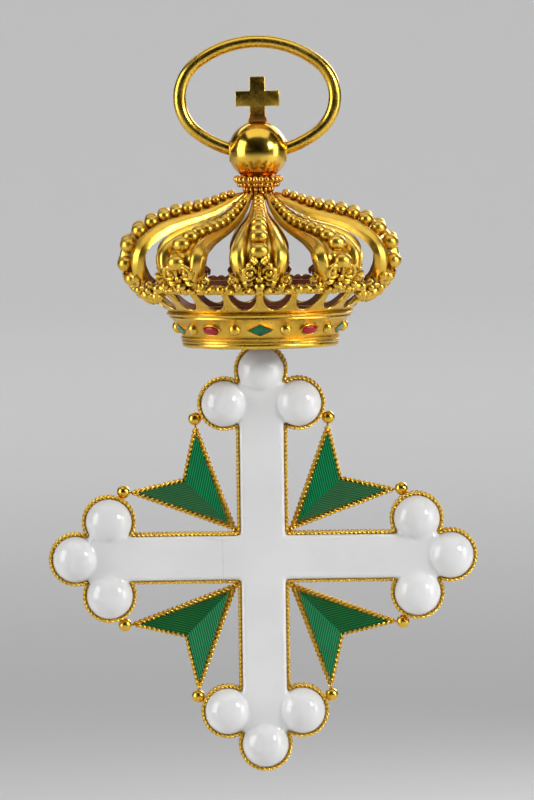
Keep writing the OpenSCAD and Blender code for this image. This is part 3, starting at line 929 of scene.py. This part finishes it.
def make_wreath():
    """Hoop with ten fleurons of rolled leaves and pearls, and a pearl between each pair."""
    shapes = {
        "lobed": proto(build_leaf, 5, 0.1, 0.15),
        "pointed": proto(build_leaf, 2, 0.06, 0.75),
        "curl": proto(build_curl),
        "pearl": BEAD,
    }
    bm = bmesh.new()
    top_r, top_drop = ARCH[ARCH_LAST_ROW][:2]
    hoop = [(top_r - 0.85, -top_drop - 0.15), (top_r - 0.05, -top_drop - 0.25)] + HOOP_FOOT
    revolve(bm, hoop, steps=160)
    for i in range(ARCHES):
        turn = turned(i * ARCH_STEP)
        place_in_five = i % (ARCHES // 2)
        at_side = place_in_five in (2, 3)
        for name, across, up, angle, width, length, relief, lift in FLEURON + (HANGING if at_side else []):
            if up > TOP_FROM and at_side:
                continue
            if up > TOP_FROM and place_in_five:
                up -= TOP_DROP
            if at_side and up > SIDE_FROM:
                up -= SIDE_DROP
            for side in ((1,) if across == 0 else (1, -1)):
                place = on_skin(FOOT_RUN - up, lift - LEAF_SINK, side * across, -side * radians(angle))
                stamp(bm, shapes[name], turn @ place @ sized(side * width, length, relief))
        place = turned((i + 0.5) * ARCH_STEP) @ on_skin(FOOT_RUN - SPRIG_PEARL_UP, SPRIG_PEARL_LIFT)
        stamp(bm, PEARL, place @ sized(SPRIG_PEARL_R, SPRIG_PEARL_R, SPRIG_PEARL_R))
    face_outwards(bm)
    # Painted shade: faces that look inwards take the dark brown material
    for f in bm.faces:
        f.material_index = 1 if outward_share(f) < LEAF_SHADE_FROM else 0
    return piece("wreath_leaves", bm, [LEAF_GOLD, INNER_PAINTED_SHADE], "crown", ["wreath"])


# Crown band

RIM_R = 13.7
GALLERY_FOOT_Z = -39.3
GALLERY_TOP = (17.2, -36.3)
SCALLOPS = 20
SCALLOP_R = 2.35
SCALLOP_DEPTH = 2.7
SCALLOP_Z = -36.15
WALL = 0.8
# Gallery faces that look inwards by more than this share are given painted shade, dark brown
GALLERY_SHADE_FROM = -0.3
EDGE_ROLL_R = 0.2
# Faces of the turned band larger than this, in square millimetres, are its stippled ground where they look
# outwards, and painted shade where they look inwards
GROUND_FACE = 0.3
STONE_R = 12.39
STONE_Z = -41.8
FACE_LEAN = atan2(13.15 - 11.6, 43.2 - 40.45)
POST_SHARE = 0.15
U_LIMIT = acos((SCALLOP_Z - GALLERY_TOP[1]) / SCALLOP_DEPTH)


def gallery_r(z):
    f = (z - GALLERY_FOOT_Z) / (GALLERY_TOP[1] - GALLERY_FOOT_Z)
    return RIM_R + f * (GALLERY_TOP[0] - RIM_R)


def gallery_top(c):
    """Angle from a scallop's middle and height of the gallery's edge, c running from -1 to 1."""
    side = copysign(1, c)
    c = abs(c)
    if c < 1 - POST_SHARE:
        a = U_LIMIT * c / (1 - POST_SHARE)
        z = SCALLOP_Z - SCALLOP_DEPTH * cos(a)
        return side * asin(SCALLOP_R * sin(a) / gallery_r(z)), z
    edge = asin(SCALLOP_R * sin(U_LIMIT) / GALLERY_TOP[0])
    f = (c - 1 + POST_SHARE) / POST_SHARE
    return side * (edge + f * (pi / SCALLOPS - edge)), GALLERY_TOP[1]


GALLERY_COLUMNS = 36
GALLERY_ROWS = 7


def add_gallery(bm):
    """The gallery as a closed wall round the crown, its upper edge cut in scallops."""
    wall = bmesh.new()
    rows = 2 * GALLERY_ROWS + 2
    columns = GALLERY_COLUMNS * SCALLOPS
    verts = ops.create_grid(wall, x_segments=columns, y_segments=rows, size=1)["verts"]
    foot = GALLERY_FOOT_Z - 0.15
    for v in verts:
        along = (v.co.x + 1) / 2 * SCALLOPS
        k = min(int(along + 1e-6), SCALLOPS - 1)
        angle, top = gallery_top(2 * (along - k) - 1)
        row = round((v.co.y + 1) / 2 * rows)
        inside = GALLERY_ROWS < row < rows
        f = (rows - 1 - row if inside else row % rows) / GALLERY_ROWS
        z = foot + f * (top - foot)
        r = gallery_r(z) - (WALL if inside else 0)
        turn = angle + (k + 0.5) * 2 * pi / SCALLOPS
        v.co = (r * sin(turn), -r * cos(turn), z)
    ops.remove_doubles(wall, verts=wall.verts, dist=0.005)
    face_outwards(wall)
    turn_over(wall)
    # Painted shade: faces that look inwards take the dark brown material
    for f in wall.faces:
        f.material_index = 1 if outward_share(f) < GALLERY_SHADE_FROM else 0
    bm.from_mesh(keep(wall))


BAND_PROFILE = [
    (12.62, -39.3), (13.3, -39.15), (13.72, -39.28), (13.95, -39.42), (14.02, -39.62), (13.93, -39.82),
    (13.72, -39.92), (13.56, -39.97), (13.6, -40.08), (13.58, -40.22), (13.42, -40.34), (13.17, -40.45),
]
BAND_FOOT_PROFILE = [
    (11.66, -43.08), (11.80, -43.12), (11.93, -43.24), (11.9, -43.4), (11.74, -43.5), (11.72, -43.58),
    (11.82, -43.68), (11.82, -43.84), (11.68, -43.95), (11.64, -44.02), (11.7, -44.14), (11.66, -44.42),
    (11.5, -44.64), (11.25, -44.72), (10.5, -44.7), (10.38, -44.5), (12.0, -40.5),
]


def on_band(angle, out=0.0):
    """Place on the band's face: local X goes right, Y up the face and Z out of it."""
    axes = turned(pi / 2 + FACE_LEAN, "X")
    place = Matrix.Translation((0, -STONE_R, STONE_Z)) @ axes @ Matrix.Translation((0, 0, out))
    return turned(angle) @ place


LOZENGE_HALF_W = 1.68
LOZENGE_HALF_H = 0.9
SEAT_RIM = 0.14
SEAT_RISE = 0.2
LOZENGE_SINK = -0.08


def raised(bm, outline, low, high):
    """A plate of the outline between two heights; gives back its top face."""
    face = bm.faces.new([bm.verts.new((x, y, low)) for x, y in outline])
    moved = ops.extrude_face_region(bm, geom=[face])["geom"]
    ops.translate(bm, vec=(0, 0, high - low), verts=verts_of(moved))
    return [g for g in moved if isinstance(g, bmesh.types.BMFace)]


def lozenge(grow):
    w, h = LOZENGE_HALF_W + grow * 2.1, LOZENGE_HALF_H + grow * 1.2
    return [(w, 0), (0, h), (-w, 0), (0, -h)]


def build_lozenge_seat(bm):
    """A low lozenge with drawn-out points, hollowed for the stone."""
    top = raised(bm, lozenge(SEAT_RIM), -0.4, SEAT_RISE)
    ops.inset_region(bm, faces=top, thickness=0.1, depth=0.0)
    ops.translate(bm, vec=(0, 0, -0.15), verts=list({v for f in top for v in f.verts}))


def build_lozenge_stone(bm):
    """A flat-topped lozenge with a girdle and bevelled facets."""
    table = raised(bm, lozenge(0.0), 0.0, SEAT_RISE - 0.04)
    ops.inset_region(bm, faces=table, thickness=0.34, depth=0.0)
    ops.translate(bm, vec=(0, 0, 0.16), verts=list({v for f in table for v in f.verts}))


def build_oval_seat(bm):
    """A turned ring round the oval, squashed to its shape."""
    verts = [bm.verts.new((1 + 0.09 * cos(a), 0, 0.16 * sin(a) + 0.1)) for a in
             (pi * k / 6 - pi / 2 for k in range(12))]
    edges = [bm.edges.new(p) for p in zip(verts, verts[1:] + verts[:1])]
    spin(bm, verts + edges, (0, 0, 0), (0, 0, 1), 2 * pi, 40, True)
    ops.scale(bm, vec=(OVAL_HALF_W + 0.1, OVAL_HALF_H + 0.08, 1), verts=bm.verts)
    ops.remove_doubles(bm, verts=bm.verts, dist=0.001)


BALL_R = 0.93
BALL_RISE = 0.75
OVAL_HALF_W = 1.42
OVAL_HALF_H = 0.76


def make_band():
    """Scalloped gallery with rolled edges, mouldings, stippled face, half-balls and seats."""
    bm = bmesh.new()
    revolve(bm, BAND_PROFILE + BAND_FOOT_PROFILE, steps=240)
    face_outwards(bm)
    # Large faces: the stippled ground where they look outwards, painted shade in dark brown where they look
    # inwards
    for f in bm.faces:
        if f.calc_area() > GROUND_FACE:
            f.material_index = 2 if outward_share(f) > 0 else 1
    add_gallery(bm)
    edge = []
    for k in range(SCALLOPS):
        for j in range(GALLERY_COLUMNS):
            angle, z = gallery_top(2 * j / GALLERY_COLUMNS - 1)
            turn = angle + (k + 0.5) * 2 * pi / SCALLOPS
            r = gallery_r(z) - EDGE_ROLL_R
            edge.append((r * sin(turn), -r * cos(turn), z))
    roll = [(EDGE_ROLL_R * cos(a), EDGE_ROLL_R * sin(a)) for a in angles(10)]
    stamp(bm, tube_mesh(edge, roll), Matrix.Identity(4))
    lozenge_seat = proto(build_lozenge_seat)
    oval_seat = proto(build_oval_seat)
    for k in range(2 * ARCHES):
        angle = k * ARCH_STEP / 2
        if k % 2:
            stamp(bm, PEARL, on_band(angle) @ sized(BALL_R, BALL_R, BALL_RISE))
        elif k % 4 == 0:
            stamp(bm, lozenge_seat, on_band(angle, LOZENGE_SINK))
        else:
            stamp(bm, oval_seat, on_band(angle))
    metals = [BAND_GOLD, INNER_PAINTED_SHADE, MATTED_GOLD]
    return piece("band_metal", bm, metals, "crown", ["crown_band"])


def cut_flat(bm, place, away):
    """Cuts off the part of a form that lies on one side of a plane, and closes the cut."""
    geom = bm.verts[:] + bm.edges[:] + bm.faces[:]
    ops.bisect_plane(bm, geom=geom, dist=1e-5, plane_co=place, plane_no=away, clear_outer=True)
    ops.edgeloop_fill(bm, edges=open_edges(bm))


def build_cabochon(bm):
    ops.create_uvsphere(bm, u_segments=28, v_segments=16, radius=1)
    cut_flat(bm, (0, 0, -0.2), (0, 0, -1))


def make_stones():
    """Five green lozenges with flat facets and five smooth red ovals."""
    cabochon = proto(build_cabochon)
    cut = proto(build_lozenge_stone)
    for i in range(1, 6):
        bm = bmesh.new()
        place = on_band((4 * i - 2) * ARCH_STEP / 2, 0.1)
        stamp(bm, cabochon, place @ sized(OVAL_HALF_W, OVAL_HALF_H, 0.5))
        piece(f"red_dome_{i}", bm, [OVAL_RED], "crown", [f"red_oval_{i}"])
        bm = bmesh.new()
        stamp(bm, cut, on_band((4 * i - 4) * ARCH_STEP / 2, LOZENGE_SINK))
        piece(f"green_cut_{i}", bm, [LOZENGE_GREEN], "crown", [f"green_lozenge_{i}"],
              sharp=radians(10))


# Cross

def arc(centre, radius, start, stop, step):
    """Points along an arc in the plane of the cross, both ends included."""
    count = max(3, round(radius * abs(stop - start) / step))
    return [centre + radius * Vector((cos(a), sin(a))) for a in
            (start + (stop - start) * k / count for k in range(count + 1))]


def trefoil_outline(lobe_r, arm_half, fillet, step=0.2):
    """The cross seen from the front, as (x, z) points; fillet rounds the notches between its lobes."""
    side = Vector((SIDE_LOBE_OFF, SIDE_LOBE_AT))
    end = Vector((0.0, END_LOBE_AT))
    middle = (side + end) / 2
    outward = Vector((end.y - side.y, side.x - end.x)).normalized()
    half = (end - side).length / 2
    rounding = middle + outward * sqrt((lobe_r + fillet) ** 2 - half**2)

    def heading(a, b):
        return atan2(b.y - a.y, b.x - a.x)

    start = atan2(-sqrt(lobe_r**2 - (SIDE_LOBE_OFF - arm_half) ** 2), arm_half - SIDE_LOBE_OFF)
    right = arc(side, lobe_r, start, heading(side, rounding), step)
    turn_end = heading(rounding, end) - 2 * pi
    right += arc(rounding, fillet, heading(rounding, side), turn_end, step / 2)[1:-1]
    right += arc(end, lobe_r, heading(end, rounding), pi / 2, step)
    arm = [Vector((arm_half, arm_half))] + right + [Vector((-p.x, p.y)) for p in reversed(right[:-1])]
    outline = []
    for quarter in range(4):
        turn = Matrix.Rotation(quarter * pi / 2, 2)
        outline += [tuple(turn @ p) for p in arm]
    return outline


def ray_corners(inset):
    """Corners of the first ray moved inwards: inner point, tip beside the upright arm, notch, other tip."""
    near, far = RAY_TIP
    corner = [Vector(p) for p in ((RAY_POINT, RAY_POINT), (near, far), (RAY_NOTCH, RAY_NOTCH), (far, near))]
    way = [(corner[(i + 1) % 4] - corner[i]).normalized() for i in range(4)]
    moved = []
    for i in range(4):
        before = way[i - 1]
        sine = before.x * way[i].y - before.y * way[i].x
        moved.append(corner[i] - inset * (way[i] - before) / sine)
    return [tuple(p) for p in moved]


def quadrants():
    return [sized(sx, 1, sz) for sx, sz in ((1, 1), (-1, 1), (-1, -1), (1, -1))]


TO_CROSS = Matrix.Translation((0, 0, CROSS_Z))
EYE_PROFILE = [(0.77, -1.3), (1.45, -1.3), (1.62, -1.15), (1.62, 1.15), (1.45, 1.3), (0.77, 1.3)]
SHANK_HALF_W = 1.3
SHANK_HALF_T = 0.8
RAY_ROPE_INSET = 0.4


def make_cross_body():
    """Gold slab under the enamel, the webs and balls of the rays, and the eye of the hinge."""
    bm = bmesh.new()
    slab(bm, trefoil_outline(LOBE_R - 0.08, ARM_HALF - 0.08, 0.1), -BODY_HALF_T, BODY_HALF_T)
    web = bmesh.new()
    slab(web, ray_corners(0.2), -RAY_ROPE_Y, RAY_ROPE_Y)
    face_outwards(web)
    web_mesh = keep(web)
    for turn in quadrants():
        stamp(bm, web_mesh, turn)
        for x, z in (RAY_TIP, RAY_TIP[::-1]):
            ball_at(bm, PEARL, turn @ Vector((x, 0, z)), (RAY_BALL_R, RAY_BALL_R, RAY_BALL_R))
        solder = ARM_HALF + SOLDER_R / 2
        for y in (-RAY_ROPE_Y, RAY_ROPE_Y):
            ball_at(bm, PEARL, turn @ Vector((solder, y, solder)), (SOLDER_R, 0.8 * SOLDER_R, SOLDER_R))
    ops.transform(bm, matrix=TO_CROSS, verts=bm.verts)
    revolve(bm, EYE_PROFILE, "X", (0, 0, HINGE_Z), steps=48)
    shank_top = HINGE_Z - 1.4
    shank_foot = CROSS_Z + END_LOBE_AT + 3
    shank = bmesh.new()
    corners = [(-SHANK_HALF_W, shank_top), (SHANK_HALF_W, shank_top)]
    corners += [(SHANK_HALF_W, shank_foot), (-SHANK_HALF_W, shank_foot)]
    slab(shank, corners, -SHANK_HALF_T, SHANK_HALF_T)
    bm.from_mesh(keep(shank))
    face_outwards(bm)
    return piece("cross_body", bm, [BODY_GOLD], "cross", ["cross_frame"])


def make_ropes():
    """Twisted wire round the cross and round each ray, on the front and on the back."""
    border = trefoil_outline(LOBE_R - BORDER_W / 2, ARM_HALF - BORDER_W / 2, 0.18, 0.12)
    for face, y in (("front", -1), ("back", 1)):
        bm = bmesh.new()
        add_rope(bm, border, y * BODY_HALF_T, CROSS_LAY)
        turn_over(bm)
        ops.transform(bm, matrix=TO_CROSS, verts=bm.verts)
        piece(f"cross_rope_{face}", bm, [ROPE_GOLD], "cross")
        one = bmesh.new()
        add_rope(one, ray_corners(RAY_ROPE_INSET), y * RAY_ROPE_Y, RAY_LAY, RAY_ROPE_THICK)
        turn_over(one)
        mesh = keep(one)
        bm = bmesh.new()
        for turn in quadrants():
            stamp(bm, mesh, TO_CROSS @ turn)
        piece(f"ray_ropes_{face}", bm, [ROPE_GOLD], "cross")


ENAMEL_VOXEL = 0.17
ENAMEL_SMOOTHING = 30
ENAMEL_GROW = 0.06
# The glaze laps over the inner edge of the border by this much
ENAMEL_LAP = 0.02
# Glaze that fills the angle between a side lobe and the end lobe
GLAZE_WEB_AT = (2.6, -0.3, 25.4)
GLAZE_WEB_RADII = (1.3, 1.7, 1.3)


def add_ball(bm, centre, radii, turn):
    place = turn @ Matrix.Translation(centre) @ sized(*radii)
    ops.create_uvsphere(bm, u_segments=56, v_segments=36, radius=1, matrix=place)


def add_glaze_bar(bm, half, depth, turn):
    """A flat arm of glaze from one end of the cross to the other, with softened shoulders."""
    bar = bmesh.new()
    ops.create_cube(bar, size=1)
    ops.scale(bar, vec=(2 * half, depth, 2 * END_LOBE_AT - 4), verts=bar.verts)
    ops.translate(bar, vec=(0, depth / 2 - ARM_TOP - ENAMEL_GROW, 0), verts=bar.verts)
    bevel(bar, ARM_SHOULDER, 4, [e for e in bar.edges if all(v.co.y < -1 for v in e.verts)])
    ops.transform(bar, matrix=turn, verts=bar.verts)
    bm.from_mesh(keep(bar))


def make_white_enamel():
    """Domed lobes and flat arms fused and softened as one glaze, then cut at the gold."""
    lobe_r = LOBE_R - BORDER_W + ENAMEL_LAP
    arm_half = ARM_HALF - BORDER_W + ENAMEL_LAP
    rise = LOBE_TOP - ENAMEL_LOW
    dome_r = (rise**2 + lobe_r**2) / (2 * rise) + ENAMEL_GROW
    bm = bmesh.new()
    for quarter in range(4):
        turn = turned(quarter * pi / 2, "Y")
        for side in (0, 1, -1):
            x, z = (side * SIDE_LOBE_OFF, SIDE_LOBE_AT) if side else (0, END_LOBE_AT)
            add_ball(bm, (x, dome_r - LOBE_TOP - ENAMEL_GROW, z), (dome_r,) * 3, turn)
            if side:
                x, y, z = GLAZE_WEB_AT
                add_ball(bm, (side * x, y, z), GLAZE_WEB_RADII, turn)
    for quarter in range(2):
        add_glaze_bar(bm, arm_half, ARM_TOP + 1.2, turned(quarter * pi / 2, "Y"))
    ob = show("glaze", keep(bm))
    fuse = ob.modifiers.new("fuse", "REMESH")
    fuse.mode = "VOXEL"
    fuse.voxel_size = ENAMEL_VOXEL
    soften = ob.modifiers.new("soften", "SMOOTH")
    soften.factor = 0.5
    soften.iterations = ENAMEL_SMOOTHING
    glaze = evaluated(ob)
    bpy.data.objects.remove(ob)
    for face, turn in (("front", 0), ("back", pi)):
        bm = bmesh.new()
        bm.from_mesh(glaze)
        cut_flat(bm, (0, -ENAMEL_LOW, 0), (0, 1, 0))
        ops.transform(bm, matrix=TO_CROSS @ turned(turn), verts=bm.verts)
        piece(f"white_glaze_{face}", bm, [WHITE_ENAMEL], "cross", [f"white_enamel_{face}"])


def dress_node(name, material):
    """Gives a solid that is shown as it is its material."""
    materials = frame["nodes"][name].data.materials
    materials.clear()
    materials.append(material)


make_ring()
make_orb()
make_small_cross()
make_neck()
make_arches()
make_wreath()
make_band()
make_stones()
make_cross_body()
make_ropes()
make_white_enamel()
for side in ("front", "back"):
    for i in range(1, 5):
        dress_node(f"ray_enamel_{side}_{i}", RAY_GREEN)
dress_node("hinge_bar", BODY_GOLD)


# Stage, lights and camera

FLOOR_Z = -0.15
FLOOR_HALF = 3.2
WALL_BEND = 0.7
WALL_TOP = 2.2
FLOOR_GREY = (0.74, 0.74, 0.74)


def make_stage():
    """Pale floor that curves up into a far wall."""
    bm = bmesh.new()
    bend_at = FLOOR_HALF - WALL_BEND
    points = [(-FLOOR_HALF, 0.0), (bend_at, 0.0)]
    for a in (pi / 2 * k / 16 for k in range(1, 17)):
        points.append((bend_at + WALL_BEND * sin(a), WALL_BEND - WALL_BEND * cos(a)))
    points.append((FLOOR_HALF, WALL_TOP))
    edge = [bm.verts.new((-FLOOR_HALF, y, FLOOR_Z + z)) for y, z in points]
    lines = [bm.edges.new(p) for p in zip(edge, edge[1:])]
    moved = ops.extrude_edge_only(bm, edges=lines)["geom"]
    ops.translate(bm, vec=(2 * FLOOR_HALF, 0, 0), verts=verts_of(moved))
    face_outwards(bm)
    for f in bm.faces:
        f.smooth = True
    mesh = keep(bm, "floor")
    mesh.materials.append(new_net("pale_floor").shade({"Base Color": FLOOR_GREY, "Roughness": 0.9}))
    show("floor", mesh)


# columns: name, place, place that it looks at, width and height, power
BADGE_MIDDLE = (0, 0, -0.06)
LIGHTS = [
    ("key", (0.40, -0.30, 0.16), BADGE_MIDDLE, (0.12, 0.14), 1.7),
    ("left_box", (-0.50, -0.18, 0.04), BADGE_MIDDLE, (0.3, 0.5), 2.2),
    ("right_box", (0.5, -0.14, -0.02), BADGE_MIDDLE, (0.16, 0.36), 0.8),
    ("top_box", (0.0, -0.10, 0.48), BADGE_MIDDLE, (0.7, 0.4), 1.1),
    ("back_box", (0.25, 0.42, 0.15), BADGE_MIDDLE, (0.2, 0.2), 0.8),
    ("front_low", (-0.2, -1.25, -0.45), BADGE_MIDDLE, (1.0, 0.3), 3.2),
    ("backdrop", (0.0, 1.75, 1.5), (0, 2.4, FLOOR_Z), (3.2, 1.8), 32.0),
]


def make_lights():
    """Soft boxes round the badge, one that lights the far floor, and a dim room."""
    for name, place, target, size, power in LIGHTS:
        light = bpy.data.lights.new(name, "AREA")
        light.shape = "RECTANGLE"
        light.size, light.size_y = size
        light.energy = power
        ob = show(name, light)
        ob.location = place
        ob.rotation_euler = (Vector(target) - Vector(place)).to_track_quat("-Z", "Y").to_euler()
    net = Net(bpy.data.worlds.new("studio"))
    x, y, z = net.split(net.add("TexCoord", {}, "Generated"))
    upward = net.span(z, 0.0, 0.8, 0.12, 0.36)
    away = net.span(y, -1.0, -0.6, 0.35, 1.0)
    net.fill(net.tree.nodes["Background"], {"Strength": net.maths("MULTIPLY", upward, away)})
    scene.world = net.owner


# The photo's frame is 534 by 800 pixels, and a pixel is this many millimetres of the badge
IMAGE_H = 800
PIXEL_MM = 0.15
CAMERA_FAR = 2000 * MM
CAMERA_RISE = 2.9
CAMERA_ROLL = -0.75
FRAME_MIDDLE = (0.87, -52.86)


def make_camera():
    """Camera at the photo's angle: nearly level with the badge and turned by a little."""
    data = bpy.data.cameras.new("camera")
    data.sensor_fit = "VERTICAL"
    data.sensor_height = 24
    data.lens = 24 * CAMERA_FAR / (IMAGE_H * PIXEL_MM * MM)
    data.clip_end = 20
    ob = show("camera", data)
    rise = radians(CAMERA_RISE)
    target = Vector((FRAME_MIDDLE[0] * MM, 0, FRAME_MIDDLE[1] * MM))
    back = Vector((0, -cos(rise), sin(rise)))
    ob.location = target + CAMERA_FAR * back
    facing = (-back).to_track_quat("-Z", "Y").to_matrix()
    ob.rotation_euler = (facing @ Matrix.Rotation(radians(CAMERA_ROLL), 3, "Z")).to_euler()
    scene.camera = ob
    scene.view_settings.view_transform = "Standard"


make_stage()
make_lights()
make_camera()
